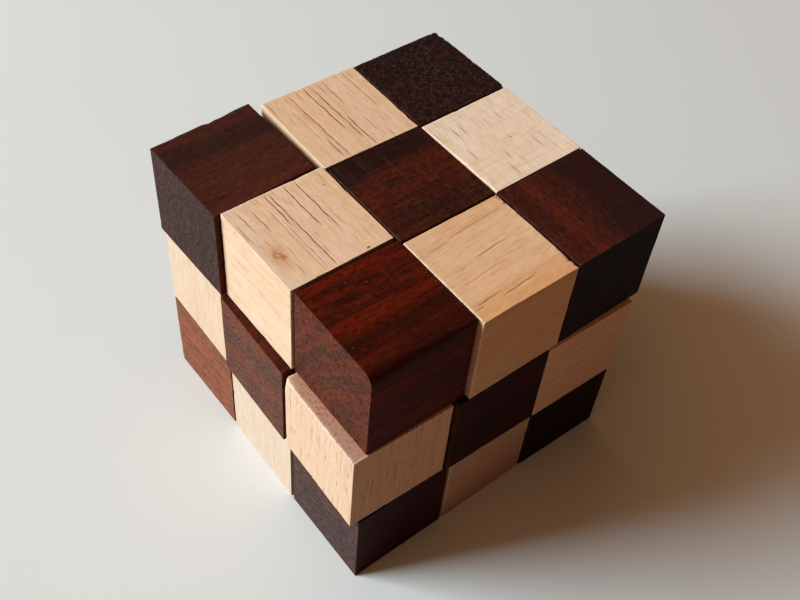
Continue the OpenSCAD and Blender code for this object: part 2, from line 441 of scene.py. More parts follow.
def edge_loop(shell, edges, axis, sign):
    """The loop of edge points round a face, with their places round a square."""
    across, up = other_axes(axis)
    numbers, places = [], []
    for along, at, forward in ((across, -1, True), (up, 1, True), (across, 1, False), (up, -1, False)):
        sides = {axis: sign, (up if along == across else across): at}
        row, stations = edges[(along, *[sides[other] for other in other_axes(along)])]
        row, stations = (row, stations) if forward else (row[::-1], stations[::-1])
        place = np.full((len(row), 2), at * shell.half)
        place[:, 0 if along == across else 1] = stations
        numbers.append(row[:-1])
        places.append(place[:-1])
    places = np.concatenate(places)
    return np.concatenate(numbers), place_on_square(places[:, 0], places[:, 1])


def veins_for(rng, count, half, width):
    """Open pores of one face: each has its place across the face, its half width and its runs along it."""
    veins = []
    reach = half - PORE_MARGIN
    for place in np.linspace(-reach, reach, count + 1)[:-1]:
        place = place + rng.uniform(0.15, 0.85) * 2 * reach / count
        runs = []
        start = rng.uniform(-half, half * 0.6)
        for _ in range(int(rng.integers(1, 4))):
            length = 1.5 + rng.exponential(2.6)
            runs.append((start, start + length, rng.uniform(0.3, 0.9)))
            start += length + rng.uniform(0.6, 4.0)
        veins.append((place, width / 2 * rng.uniform(0.4, 0.85), runs))
    return veins


def veins_from(lines, half, width):
    """The open pores of a face from its lines."""
    scale = 2 * half / 100
    return [(place * scale, width / 2 * (0.6 + 0.5 * strength),
             [(min(start, stop) * scale, max(start, stop) * scale, strength)])
            for place, start, stop, strength in sorted(lines)]


def pore_along(runs, stations):
    """How open a pore is at each station along it, from 0 to 1."""
    opened = np.zeros(len(stations))
    for start, stop, strength in runs:
        rise = np.minimum(stations - start, stop - stations) / PORE_TAPER
        opened = np.maximum(opened, np.clip(rise, 0, 1) * strength)
    return opened


def make_grained_face(shell, edges, axis, sign, rng, veins, depth, lean):
    """A face along the grain, or an end face when axis is 2, with its open pores as grooves."""
    half = shell.half
    across, up = other_axes(axis)
    lines = face_lines(half, FACE_STEP[across])
    stations = face_lines(half, FACE_STEP[up])
    clear = [line for line in lines
             if all(abs(line - place) > 0.1 + 1.3 * width for place, width, _ in veins)]
    grooves = [(place + width * offset, index, abs(offset) < 1)
               for index, (place, width, _) in enumerate(veins) for offset in GROOVE]
    columns = sorted([(line, None, False) for line in clear] + grooves, key=lambda column: column[0])
    spots = np.array([column[0] for column in columns])
    opened = np.zeros((len(stations), len(spots)))
    wander = np.zeros((len(stations), len(spots)))
    sways = [PORE_SWAY * (wave(rng, stations, 0.5, 1.2) + wave(rng, stations, 1.5, 2.6)) for _ in veins]
    for number, (_, vein, is_bed) in enumerate(columns):
        if vein is not None:
            wander[:, number] = sways[vein]
            opened[:, number] = pore_along(veins[vein][2], stations) * is_bed
    drift = lean * stations
    inside = (1 - (np.abs(spots) / half) ** 6) * (axis != 2)
    places = np.zeros((len(stations), len(spots), 3))
    places[..., axis] = sign * half
    places[..., across] = spots[None, :] + (drift[:, None] + wander) * inside[None, :]
    places[..., up] = stations[:, None]
    sunk = opened * depth + ripple(rng, places[..., across], places[..., up], half)
    numbers = shell.add(places, sunk.ravel(), pore=opened.ravel(), end_grain=1.0 if axis == 2 else 0.0)
    rows = numbers.reshape(len(stations), len(spots))
    shell.faces += woven(rows)
    loop = np.concatenate([rows[0, :-1], rows[:-1, -1], rows[-1, :0:-1], rows[:0:-1, 0]])
    flat = places.reshape(-1, 3)[loop - numbers[0]]
    inner = place_on_square(flat[:, across] / spots[-1], flat[:, up] / stations[-1])
    shell.zip(*edge_loop(shell, edges, axis, sign), loop, inner)


def ripple(rng, across, up, half):
    """The slight unevenness that sanding leaves on a face, in millimetres."""
    total = np.zeros(across.shape)
    for _ in range(RIPPLES):
        turn, length, phase = rng.uniform(0, 3.14), rng.uniform(2.5, 9.0), rng.uniform(0, FULL_TURN)
        total += np.sin((across * math.cos(turn) + up * math.sin(turn)) * FULL_TURN / length + phase)
    border = np.clip((half - np.maximum(np.abs(across), np.abs(up))) / 2.0, 0, 1)
    return RIPPLE * (total + RIPPLES) * border


def make_bored_face(shell, edges, axis, sign, radius, level, side):
    """A face with a bore in its middle. level and side are the axes that its ring is counted from. Gives the
    ring where the bore's wall starts."""
    half = shell.half
    across, up = other_axes(axis)
    ways = circle(angles(MOUTH_SIDES), level, side)
    square = 1 / np.abs(ways).max(axis=1)
    outward = np.zeros(3)
    outward[axis] = sign
    rings = []
    steps = [(half - gap, 0.0) for gap in NEAR_EDGE] + [(half - MOUTH_START, share) for share in MOUTH_ROUND]
    for reach, roundness in steps:
        out = (square * reach) * (1 - roundness) + (radius + MOUTH_EASE) * roundness
        rings.append(shell.add(ways * out[:, None] + outward * half, end_grain=1.0 if axis == 2 else 0.0))
    for out, inset, wall in ((0.3, 0.3, 0.5), (0.0, 1.0, 1.0)):
        ring = ways * (radius + out * MOUTH_EASE) + outward * (half - inset * MOUTH_EASE)
        rings.append(shell.add(ring, bore_wall=wall))
    shell.faces += woven_round(rings)
    order = rings[0]
    if np.dot(np.cross(level, side), np.cross(np.eye(3)[across], np.eye(3)[up])) < 0:
        order, ways = order[::-1], ways[::-1]
    shell.zip(*edge_loop(shell, edges, axis, sign), order, place_on_square(ways[:, across], ways[:, up]))
    return rings[-1]


def make_bore(shell, exits, radius, mouths, past):
    """The wall of the bore from its mouths on: straight through, round a corner, or blind."""
    turns = angles(MOUTH_SIDES)
    level, side = bore_axes(exits)
    if len(exits) == 1:
        rings = [mouths[0]]
        for depth, share in ((past, 1.0), (past + 0.9, 0.5), (past + 1.4, 0.08)):     # a drill's point
            ring = radius * share * circle(turns, level, side)
            rings.append(shell.add(ring - exits[0] * depth, bore_wall=1.0))
        shell.faces += [*woven_round(rings), rings[-1].tolist()]
        return
    lean = 0 if is_straight(exits) else exits[0]
    middle = shell.add(radius * circle(turns, level, side + lean), bore_wall=1.0)
    shell.faces += woven_round([mouths[0], middle, mouths[1]])


def is_straight(exits):
    """Whether two exits lie in line."""
    return abs(float(np.dot(*exits))) > 0.5


def bore_axes(exits):
    """The two axes that the points round a bore are counted from, at its first mouth."""
    if len(exits) == 2 and not is_straight(exits):
        return np.cross(*exits), exits[1]
    axis = main_axis(exits[0])
    return np.eye(3)[(axis + 1) % 3], np.eye(3)[(axis + 2) % 3]


def radii_of_edges(rng, half, sizes, look, wear, ragged):
    """The rounding of each edge at stations along it: even, ragged where torn, larger where rubbed."""
    stations = np.linspace(-half, half, ROUNDING_PLACES)
    radii = {}
    for edge in product(range(3), SIGNS, SIGNS):
        waves = sum(wave(rng, stations, 0.3, 1.6) for _ in range(3))
        radius = sizes.arris / MM * (1 + ARRIS_WAVE * waves)
        fibres = rng.uniform(0, 1, len(stations)) ** 2.5
        patches = np.clip(wave(rng, stations, 0.25, 0.7) + 0.4, 0, 1)
        torn = look["tear"] * (edge[0] != 2) * 0.6
        if edge in ragged:
            torn, patches = 0.9 + 0.6 * look["tear"], patches + 0.6
        radius = radius + sizes.tear / MM / NICK_REACH * torn * fibres * patches / 2
        for _ in range(int(rng.integers(0, 3))):
            middle, spread = rng.uniform(-half, half), rng.uniform(0.3, 0.9)
            radius = radius + 0.3 * rng.uniform(0.3, 1) * bulge(stations, middle, spread)
        for rubbed_edge, where, spread, rubbed in wear:
            if rubbed_edge == edge:
                radius = np.maximum(radius, rubbed * bulge(stations, where * half, spread))
        radii[edge] = (stations, np.clip(radius, *ROUNDING_RANGE))
    return radii


def round_edges(start, half, radii):
    """Rounds the edges of a block of points, one direction of edges after the other."""
    points = start.copy()
    for (axis, a, b), (stations, values) in radii.items():
        first, second = other_axes(axis)
        radius = np.interp(start[:, axis], stations, values)
        over = np.stack([points[:, first] * a, points[:, second] * b], axis=1) - (half - radius)[:, None]
        near = (over > 0).all(axis=1)
        push = over[near].max(axis=1) / np.linalg.norm(over[near], axis=1)
        moved = (half - radius[near])[:, None] + over[near] * push[:, None]
        points[near, first] = moved[:, 0] * a
        points[near, second] = moved[:, 1] * b
    return points


def local_side(name, turn):
    """A face's axis and sign in a cubelet's own frame, from its name in the cube's frame, such as -X."""
    way = Vector([float(name[1] == letter) for letter in "XYZ"]) * (1 if name[0] == "+" else -1)
    own = turn.transposed() @ way
    axis = main_axis(own)
    return axis, int(round(own[axis]))


def edge_key(first, second, turn):
    """The edge between two faces, in a cubelet's own frame: its axis and its two signs."""
    sides = dict([local_side(first, turn), local_side(second, turn)])
    along = next(axis for axis in range(3) if axis not in sides)
    return (along, *[sides[axis] for axis in sorted(sides)])


def local_wear(look, turn):
    """The rubbed edges of a cubelet, in its own frame."""
    rubbed = []
    for first, second, where, spread, radius in look["wear"]:
        key = edge_key(first, second, turn)
        flip = local_side("+" + "XYZ"[main_axis(turn.col[key[0]])], turn)[1]
        rubbed.append((key, where * flip, spread, radius))
    return rubbed


def outside_faces(number):
    """The faces of a cubelet that no neighbour covers, in the cube's frame."""
    edge = edge_of(number)
    here = centre_of(number)
    others = [centre_of(other) for other in range(1, LAST + 1) if other != number]
    faces = set()
    for axis, sign in product(range(3), SIGNS):
        spot = here + np.eye(3)[axis] * sign * edge
        if all(np.abs(spot - other).max() > edge / 2 for other in others):
            faces.add(("+" if sign > 0 else "-") + "XYZ"[axis])
    return faces


def make_shell(number, half, turn, look, sizes, rng):
    """A cubelet with sharp edges: its six faces, with their pores, and the wall of its bore."""
    exits = [np.array(turn.transposed() @ Vector(towards(number, other))) for other in neighbours(number)]
    radius = bore_radius(number)
    outside = {local_side(name, turn) for name in outside_faces(number)}
    top = local_side("+Z", turn)
    shell = Shell(half)
    edges = make_edges(shell)
    level, side = bore_axes(exits)
    mouths = {}
    for axis, sign in product(range(3), SIGNS):
        outward = np.eye(3)[axis] * sign
        found = [index for index, way in enumerate(exits) if np.dot(way, outward) > 0.5]
        if found:
            beside = exits[0] if abs(float(np.dot(side, outward))) > 0.5 else side
            mouths[found[0]] = make_bored_face(shell, edges, axis, sign, radius, level, beside)
            continue
        if (axis, sign) == top and look["lines"]:
            veins = veins_from(look["lines"], half, sizes.pore_width * look["line_width"] / MM)
        else:
            count = look["veins"] if (axis, sign) in outside else HIDDEN_VEINS
            veins = [] if axis == 2 else veins_for(rng, count, half, sizes.pore_width / MM)
        lean = look["lean"] if (axis, sign) == top else rng.uniform(-0.03, 0.03)
        make_grained_face(shell, edges, axis, sign, rng, veins, sizes.pore_depth / MM, lean)
    make_bore(shell, exits, radius, [mouths[index] for index in sorted(mouths)], BLIND_DEPTH * half)
    return shell


def make_cubelet(number, sizes, material):
    """One cubelet: its wood, its bores and its worn edges, in the place of its CAD node."""
    look = look_of(number)
    rng = np.random.default_rng(100 + number)
    half = edge_of(number) / 2
    turn = GRAIN_TURN[look["grain"]]
    shell = make_shell(number, half, turn, look, sizes, rng)
    points = np.concatenate(shell.points)
    marks = {name: np.concatenate(rows) for name, rows in shell.marks.items()}
    from_edge = half - np.sort(np.abs(points), axis=1)[:, 1]
    from_end = half - np.abs(points[:, 2])
    # A band along every edge, where the dark wood's colour is lightened as a painted highlight.
    marks["arris"] = nearness(from_edge, EDGE_HIGHLIGHT_BAND) * (marks["bore_wall"] == 0)
    marks["cut_rim"] = nearness(from_end, RIM_BAND) * nearness(from_edge, RIM_BAND)
    inward = np.where(np.abs(points) > half - 1e-6, -np.sign(points), 0.0)
    on_face = (np.abs(inward).sum(axis=1) == 1)[:, None]
    ragged = [edge_key(*faces, turn) for faces in look["ragged"]]
    radii = radii_of_edges(rng, half, sizes, look, local_wear(look, turn), ragged)
    points = round_edges(points, half, radii)
    points = points + inward * on_face * np.concatenate(shell.sunk)[:, None]
    points = points + falling(points, half, look["fall"], np.array(turn))
    name = node_of(number) + ("_dark" if number % 2 else "_light")
    cubelet = mesh_object(name, points * MM, shell.faces, marks)
    cubelet.matrix_world = (Matrix.Translation(Vector(centre_of(number) * MM))
                            @ Matrix.Rotation(turn_of(number), 4, "Z") @ turn.to_4x4())
    cubelet.data.materials.append(material)
    cubelet["figure_shift"] = rng.uniform(-400, 400, 3).tolist()
    give_look(cubelet, look, half, turn)
    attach(cubelet, f"cubelet_{number:02d}")
    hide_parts(node_of(number))


def give_look(cubelet, look, half, turn):
    """Gives a cubelet the properties that its wood is coloured by."""
    for key in LOOK_VECTORS:
        cubelet[key] = [float(value) for value in look[key]]
    for key in LOOK_NUMBERS:
        cubelet[key] = float(look[key])
    spots = [look["knot"], *look["specks"], None, None]
    for key, spot in zip(("knot_at", "speck_at", "other_speck_at"), spots):
        cubelet[key] = list(turn.transposed() @ Vector(spot) * (2 * half / 100) if spot else NOWHERE)


def nearness(distance, band):
    """1 at no distance, falling to 0 where the band ends."""
    return np.clip(1 - distance / band, 0, 1)


def falling(points, half, fall, turn):
    """How far each point moves where the saw ran out of true, so that the top slopes down to the -X side."""
    placed = points @ turn.T
    down = fall * (half - placed[:, 0]) / (2 * half) * (half + placed[:, 2]) / (2 * half)
    return np.outer(-down, turn[2])


def add_object(name, data):
    """A new object in the scene."""
    made = bpy.data.objects.new(name, data)
    bpy.context.scene.collection.objects.link(made)
    return made


def mesh_object(name, points, faces, marks):
    """A smooth mesh object with a named mark for each point, its faces looking outwards."""
    mesh = bpy.data.meshes.new(name)
    mesh.from_pydata(points.tolist(), [], faces)
    for mark, values in marks.items():
        mesh.attributes.new(mark, "FLOAT", "POINT").data.foreach_set("value", values.astype(np.float32))
    shape = bmesh.new()
    shape.from_mesh(mesh)
    bmesh.ops.recalc_face_normals(shape, faces=shape.faces)
    shape.to_mesh(mesh)
    shape.free()
    mesh.shade_smooth()
    return add_object(name, mesh)


# ---------------------------------------------------------------- finishes

class NodeMaker:
    """A node tree while it is made: each method adds a node or a few, and gives the output."""

    def __init__(self, tree):
        self.tree = tree
        tree.nodes.clear()

    def node(self, kind, inputs=(), **settings):
        """Adds a node. inputs gives its sockets' values, or the outputs that feed them."""
        made = self.tree.nodes.new("ShaderNode" + kind)
        for key, value in settings.items():
            setattr(made, key, value)
        for key, value in dict(inputs).items():
            socket = made.inputs[key]
            if isinstance(value, bpy.types.NodeSocket):
                self.tree.links.new(value, socket)
            else:
                socket.default_value = (*value, 1.0) if socket.type == "RGBA" else value
        return made

    def math(self, operation, *values):
        return self.node("Math", enumerate(values), operation=operation).outputs[0]

    def vector(self, operation, *values):
        made = self.node("VectorMath", enumerate(values), operation=operation)
        return made.outputs["Value" if operation in ("LENGTH", "DOT_PRODUCT") else "Vector"]

    def part(self, vector, axis):
        """One of a vector's three parts."""
        return self.node("SeparateXYZ", {0: vector}).outputs[axis]

    def times(self, *values):
        """The product of values."""
        return reduce(lambda one, other: self.math("MULTIPLY", one, other), values)

    def largest(self, *values):
        """The largest of values."""
        return reduce(lambda one, other: self.math("MAXIMUM", one, other), values)

    def plus(self, total, *rows):
        """A total with more values added to it, each times its weight."""
        for value, weight in rows:
            total = self.math("MULTIPLY_ADD", value, weight, total)
        return total

    def mix(self, amount, one, other, blend="MIX"):
        """One colour with an amount of another."""
        return self.node("Mix", {0: amount, 6: one, 7: other}, data_type="RGBA", blend_type=blend).outputs[2]

    def layers(self, colour, *rows):
        """A colour under layers of others: each has where it lies, how strong it is there, and its colour."""
        for place, strength, other in rows:
            colour = self.mix(place if strength == 1 else self.times(place, strength), colour, other)
        return colour

    def seen_directly(self):
        """1 for what is looked at, mirrored or seen through glass, and 0 for what only gives light."""
        path = self.node("LightPath").outputs
        return self.largest(*(path[f"Is {kind} Ray"] for kind in ("Camera", "Glossy", "Transmission")))


class Finish(NodeMaker):
    """A material while it is made. The places in wood are in millimetres, with the fibres along Z."""

    def __init__(self, name):
        self.material = bpy.data.materials.new(name)
        self.material.use_nodes = True
        super().__init__(self.material.node_tree)

    def mark(self, name):
        """A mark that the mesh carries on its points."""
        return self.node("Attribute", attribute_name=name).outputs["Fac"]

    def own(self, name, output="Fac"):
        """A property of the object itself."""
        return self.node("Attribute", attribute_name=name, attribute_type="OBJECT").outputs[output]

    def step(self, value, low, high):
        """0 below low, 1 above high, and smooth between."""
        return self.node("MapRange", {"Value": value, "From Min": low, "From Max": high},
                         interpolation_type="SMOOTHSTEP").outputs[0]

    def within(self, value, low, high):
        """1 below low, 0 above high, and smooth between."""
        return self.math("SUBTRACT", 1.0, self.step(value, low, high))

    def texture(self, kind, place, across, along, **settings):
        """A texture, with its cycles to one unit of place across the fibres and along them."""
        stretched = self.vector("MULTIPLY", place, (across, across, along))
        return self.node(kind, {"Vector": stretched, "Scale": 1.0, **settings}).outputs

    def noise(self, place, across, along, detail=2.0, roughness=0.5):
        """Noise from 0 to 1."""
        return self.texture("TexNoise", place, across, along, Detail=detail, Roughness=roughness)[0]

    def sway(self, place, across, along, detail, reach):
        """An uneven push from each place, either way and up to half of reach on each axis."""
        push = self.texture("TexNoise", place, across, along, Detail=detail)["Color"]
        return self.vector("MULTIPLY", self.vector("SUBTRACT", push, (0.5, 0.5, 0.5)), reach)

    def rings(self, distance, scale, detail=2.0):
        """Uneven growth rings from 0 to 1, scale of them to the millimetre."""
        place = self.plus(self.part(self.own("figure_shift", "Vector"), "X"), (distance, scale))
        return self.node("TexNoise", {"W": place, "Scale": 1.0, "Detail": detail},
                         noise_dimensions="1D").outputs[0]

    def pores(self, place, across, along, reach):
        """1 in slender pores scattered through the wood, and 0 outside them."""
        return self.within(self.texture("TexVoronoi", place, across, along)["Distance"], 0.45 * reach, reach)

    def streak(self, across, name):
        """1 in the streak along the fibres that a cubelet's property gives, and 0 outside it."""
        spot = self.own(name, "Vector")
        away = self.vector("MULTIPLY", self.vector("SUBTRACT", across, spot), (1.0, 1.0, 0.0))
        past = self.math("SUBTRACT", self.vector("LENGTH", away), self.part(spot, "Z"))
        return self.within(past, -0.9, 2.6)

    def near(self, place, name, low, high, stretch=(1.0, 1.0, 1.0)):
        """1 near the spot that a cubelet's property gives, and 0 further away than high."""
        away = self.vector("MULTIPLY", self.vector("SUBTRACT", place, self.own(name, "Vector")), stretch)
        return self.within(self.vector("LENGTH", away), low, high)

    def surface(self, colour, roughness, height, bump, specular, clear=None):
        """Ends the material. bump is the height in metres of one unit of height. clear is how far the surface
        is seen through."""
        normal = self.node("Bump", {"Height": height, "Strength": 1.0, "Distance": bump}).outputs[0]
        shader = self.node("BsdfPrincipled", {"Base Color": colour, "Roughness": roughness, "Normal": normal,
                                              "Specular IOR Level": specular}).outputs[0]
        if clear is not None:
            past = self.node("BsdfTransparent").outputs[0]
            shader = self.node("MixShader", {0: clear, 1: shader, 2: past}).outputs[0]
        self.node("OutputMaterial", {"Surface": shader})
        return self.material


def wood_places(finish):
    """Four places in the wood, with the fibres along Z: as built, bent a little and shifted for each cubelet,
    the distance from the middle of the tree, and torn about for streaks with uneven sides."""
    scaled = {0: finish.node("TexCoord").outputs["Object"], "Scale": 1 / MM}
    own = finish.node("VectorMath", scaled, operation="SCALE").outputs["Vector"]
    slant = finish.times(finish.part(own, "Z"), finish.own("lean"), -1.0)
    leaning = finish.vector("ADD", own, finish.node("CombineXYZ", {"X": slant, "Y": slant}).outputs[0])
    placed = finish.vector("ADD", leaning, finish.own("figure_shift", "Vector"))
    sway = finish.sway(placed, 0.07, 0.05, 1.0, (1.6, 1.6, 0.0))
    place = finish.vector("ADD", placed, sway)
    away = finish.vector("SUBTRACT", finish.vector("ADD", leaning, sway), finish.own("pith", "Vector"))
    far = finish.vector("LENGTH", finish.vector("MULTIPLY", away, (1.0, 1.0, 0.0)))
    ring = finish.plus(far, (finish.noise(place, 0.12, 0.03), 6.0))
    rough = finish.sway(placed, 0.32, 0.10, 4.0, (7.0, 7.0, 0.0))
    return own, place, ring, finish.vector("ADD", leaning, rough)


def tinted(finish, colour):
    """The colour times the cubelet's own tint, which the end grain has another of."""
    tint = finish.mix(finish.mark("end_grain"), finish.own("tint", "Color"), finish.own("end_tint", "Color"))
    return finish.mix(1.0, colour, tint, "MULTIPLY")


def light_wood(colours):
    """Pale, open-pored hardwood, sanded and bare."""
    finish = Finish("light_wood")
    own, place, ring, _ = wood_places(finish)
    fibres = finish.noise(place, 1.9, 0.10, 3.0, 0.6)
    grain = finish.noise(place, 1.5, 0.55, 3.0, 0.6)
    late = finish.times(finish.step(finish.rings(ring, 0.55), 0.50, 0.72), finish.own("figure"))
    cloud = finish.step(finish.noise(place, 0.16, 0.05), 0.45, 0.7)
    dash = finish.largest(finish.pores(place, 1.2, 0.12, 0.17),
                          finish.pores(place, 1.0, 0.03, 0.11))
    scratch = finish.step(finish.noise(place, 0.10, 1.6), 0.50, 0.72)
    bead = finish.plus(0.6, (finish.step(finish.noise(place, 0.6, 0.9, 1.0), 0.25, 0.6), 0.4))
    ends = finish.layers(
        colours.light_end,
        (finish.step(finish.noise(place, 1.9, 0.12), 0.5, 0.72), 1, (0.32, 0.15, 0.08)),
        (finish.pores(place, 1.3, 0.03, 0.17), 0.6, colours.light_pore),
    )
    colour = finish.layers(
        colours.light_wood,
        (finish.step(finish.rings(ring, 0.14), 0.38, 0.62), 1, colours.light_rose),
        (late, 0.45, colours.light_late),
        (cloud, 0.3, (0.75, 0.54, 0.37)),                                   # paler clouds
        (finish.step(fibres, 0.46, 0.78), 0.34, (0.50, 0.27, 0.13)),        # darker fibres
        (finish.step(grain, 0.48, 0.72), 0.24, (0.52, 0.31, 0.17)),         # darker grain
        (finish.step(grain, 0.50, 0.28), 0.3, (0.84, 0.62, 0.44)),          # paler grain
        (finish.times(dash, finish.own("dashes")), 0.8, colours.light_pore),
        (finish.mark("end_grain"), 1, ends),
        (finish.times(scratch, finish.own("scratches")), 0.2, (0.66, 0.37, 0.215)),
    )
    colour = finish.layers(
        knotted(finish, own, colour),
        (finish.mark("pore"), bead, colours.light_pore),
        (finish.mark("bore_wall"), 1, (0.30, 0.16, 0.09)),
    )
    colour = tinted(finish, colour)
    # Painted light: a paler, cooler band over the -X face of some light cubelets, where the window's light
    # falls.
    colour = finish.mix(finish.streak(own, "pale_streak"), colour, (0.97, 1.10, 1.2), "MULTIPLY")
    colour = finish.mix(finish.streak(own, "tan_streak"), colour, (0.93, 0.78, 0.62), "MULTIPLY")
    fuzz = finish.times(finish.mark("cut_rim"), finish.step(fibres, 0.3, 0.55))
    colour = finish.layers(colour, (fuzz, 0.7, (0.90, 0.73, 0.63)))
    height = finish.plus(0.0, (fibres, -1.0), (grain, -1.2))
    return finish.surface(colour, finish.plus(0.58, (fibres, 0.2)), height, 0.018 * MM, 0.2)


def knotted(finish, own, colour):
    """The colour with a cubelet's small knot and its specks, if it has them."""
    bent = finish.vector("ADD", own, finish.sway(own, 0.9, 0.9, 2.0, (2.2, 2.2, 2.2)))
    halo = finish.near(bent, "knot_at", 0.5, 2.7, (1.0, 1.0, 0.6))
    core = finish.near(bent, "knot_at", 0.75, 1.25)
    heart = finish.near(bent, "knot_at", 0.25, 0.7)
    specks = finish.largest(finish.near(own, "speck_at", 0.05, 0.22, (1.0, 0.8, 1.0)),
                            finish.near(own, "other_speck_at", 0.1, 0.32, (1.0, 0.6, 1.0)))
    return finish.layers(
        colour,
        (halo, 0.65, (0.60, 0.27, 0.12)),
        (finish.math("SUBTRACT", core, heart), 0.6, (0.30, 0.10, 0.03)),
        (specks, 0.85, (0.10, 0.035, 0.015)),
    )


def dark_wood(colours):
    """Dark hardwood with red and black streaks, sanded and thinly oiled."""
    finish = Finish("dark_wood")
    _, place, ring, across = wood_places(finish)
    streaks = finish.noise(place, 0.8, 0.09, 3.0, 0.65)
    fibres = finish.noise(place, 1.8, 0.24, 3.0, 0.65)
    grain = finish.noise(place, 1.6, 0.9, 3.0, 0.65)
    figure, figured, end_grain = finish.own("figure"), finish.own("figured"), finish.mark("end_grain")
    drawn = finish.plus(0.0, (finish.rings(ring, 0.20), 0.55),
                        (finish.noise(place, 0.22, 0.05), 0.45))
    red = finish.largest(finish.times(finish.step(drawn, 0.42, 0.62), figure),
                         finish.times(finish.streak(across, "red_streak"), 0.75))
    lines = finish.plus(0.0, (finish.rings(ring, 0.9), 0.35), (streaks, 0.65))
    cloud = finish.largest(finish.streak(across, "black_streak"), finish.streak(across, "second_black"))
    black = finish.largest(finish.times(finish.step(lines, 0.47, 0.62), figure), finish.times(cloud, 0.8))
    bare = finish.math("SUBTRACT", 1.0, black)
    hole = finish.largest(finish.pores(place, 1.0, 0.26, 0.2),
                          finish.times(end_grain, finish.pores(place, 0.95, 0.03, 0.24)))
    fine = finish.rings(finish.plus(ring, (grain, 2.2)), 1.5, 3.0)
    ends = finish.layers(
        colours.dark_end,
        (finish.times(finish.step(drawn, 0.40, 0.60), figure), 1, colours.dark_end_red),
        (finish.step(fine, 0.46, 0.64), 0.4, (0.015, 0.008, 0.007)),        # dark rings
        (finish.step(fine, 0.50, 0.34), 0.25, (0.110, 0.048, 0.036)),       # pale rings
        (finish.step(grain, 0.46, 0.66), 0.45, (0.110, 0.050, 0.039)),      # pale grain
        (finish.step(grain, 0.48, 0.32), 0.5, (0.012, 0.006, 0.005)),       # dark grain
    )
    colour = finish.layers(
        colours.dark_wood,
        (red, 1, colours.dark_red),
        (black, 0.8, colours.dark_black),
        (finish.times(finish.step(fibres, 0.42, 0.70), figured), 0.6, colours.dark_black),
        (finish.times(finish.step(grain, 0.50, 0.72), bare, figured), 0.4, (0.110, 0.030, 0.016)),
        (finish.times(finish.step(grain, 0.48, 0.30), figured), 0.6, colours.dark_pore),
        (end_grain, 1, ends),
        (hole, 0.8, colours.dark_pore),
        (finish.mark("pore"), 0.8, colours.dark_pore),
        (finish.mark("bore_wall"), 1, (0.03, 0.014, 0.010)),
    )
    patchy = finish.plus(0.88, (finish.noise(place, 0.1, 0.1), 0.24))
    specks = finish.step(finish.times(finish.noise(place, 1.5, 0.3, 2.0, 0.6), patchy), 0.50, 0.68)
    scratch = finish.step(finish.noise(place, 0.06, 1.5), 0.52, 0.76)
    dust = finish.step(finish.noise(place, 2.6, 1.8, 0.0), 0.84, 0.87)
    colour = finish.layers(
        tinted(finish, colour),
        (finish.times(specks, finish.own("flecks"), end_grain), 0.6, colours.dark_fleck),
        (finish.times(scratch, finish.own("scratches")), 0.16, (0.16, 0.09, 0.06)),
        (dust, 0.3, (0.22, 0.15, 0.12)),
        # Painted highlight: a paler band along every edge, where the edges catch the light.
        (finish.mark("arris"), 0.12, (0.10, 0.045, 0.035)),
    )
    height = finish.plus(0.0, (fibres, -1.0), (grain, -1.2), (hole, -0.8))
    return finish.surface(colour, finish.plus(0.46, (fibres, 0.25)), height, 0.026 * MM, 0.05)


def braided_cord(colours):
    """The braided sheath of the elastic cord, with a painted highlight on the crowns of its strands and
    painted shade in the grooves between them.
    """
    finish = Finish("elastic_cord")
    fuzz = finish.noise(finish.node("TexCoord").outputs["Object"], 9000.0, 9000.0)
    crown = finish.mark("strand")
    # Painted highlight on the strands' crowns, and painted shade between them, over the cord's own colour.
    colour = finish.layers(colours.cord, (crown, 1, colours.cord_crown_highlight), (fuzz, 0.3, colours.cord))
    return finish.surface(colour, 0.85, fuzz, 0.02 * MM, 0.3)


def plain_floor(colours):
    """The plain pale floor, which runs out into the even surroundings. It throws a softer, warmer light back
    on the cube than its own colour would."""
    finish = Finish("stage_floor")
    place = finish.node("TexCoord").outputs["Object"]
    mottle = finish.noise(place, 30.0, 30.0)
    seen = finish.mix(mottle, colours.floor, [value * 0.985 for value in colours.floor])
    direct = finish.seen_directly()
    colour = finish.mix(direct, colours.bounce, seen)
    away = finish.step(finish.vector("LENGTH", place), *FLOOR_FADE)
    return finish.surface(colour, 0.9, mottle, 0.01 * MM, 0.1, finish.times(away, direct))


# ---------------------------------------------------------------- cord

CORD_SIDES = 32            # points round the cord
CORD_RING = 0.25           # length between two rings, in mm
STRANDS = 8                # strands of the sheath that wind one way
CORD_TURN = 1.5            # where the cord starts to bend inside a cubelet, in mm from its centre
BEND_STEPS = 12            # steps in a bend
KNOT_STEPS = 160           # steps round a knot
KNOT_CORD = 0.62           # how thick the cord is where a knot squeezes it, against the loose cord


def link_middle(number, other):
    """The middle of a link, in millimetres."""
    return (centre_of(number) + centre_of(other)) / 2


def cord_end(node, number, other):
    """The end of a cord length that points to another cubelet: the CAD node's box says how far it goes."""
    low, high = box_of(node)
    way = towards(number, other)
    axis = main_axis(way)
    end = link_middle(number, other)
    end[axis] = high[axis] if way[axis] > 0 else low[axis]
    return end


def cord_turnoff(number, other):
    """Where the cord leaves the straight line of a link, close to the cubelet's centre."""
    way = towards(number, other)
    return np.where(way == 0, link_middle(number, other), centre_of(number) + way * CORD_TURN)


def evenly(points, step):
    """Points at even steps along a line of points, and how far along it each lies."""
    points = np.array(points)
    length = np.concatenate([[0], np.cumsum(np.linalg.norm(np.diff(points, axis=0), axis=1))])
    stops = np.linspace(0, length[-1], max(2, int(round(length[-1] / step)) + 1))
    return np.stack([np.interp(stops, length, points[:, axis]) for axis in range(3)], axis=1), stops


def bend(start, corner, stop):
    """A smooth bend from start to stop that is drawn towards a corner."""
    share = np.linspace(0, 1, BEND_STEPS + 1)[:, None]
    return start * (1 - share) ** 2 + corner * 2 * share * (1 - share) + stop * share ** 2


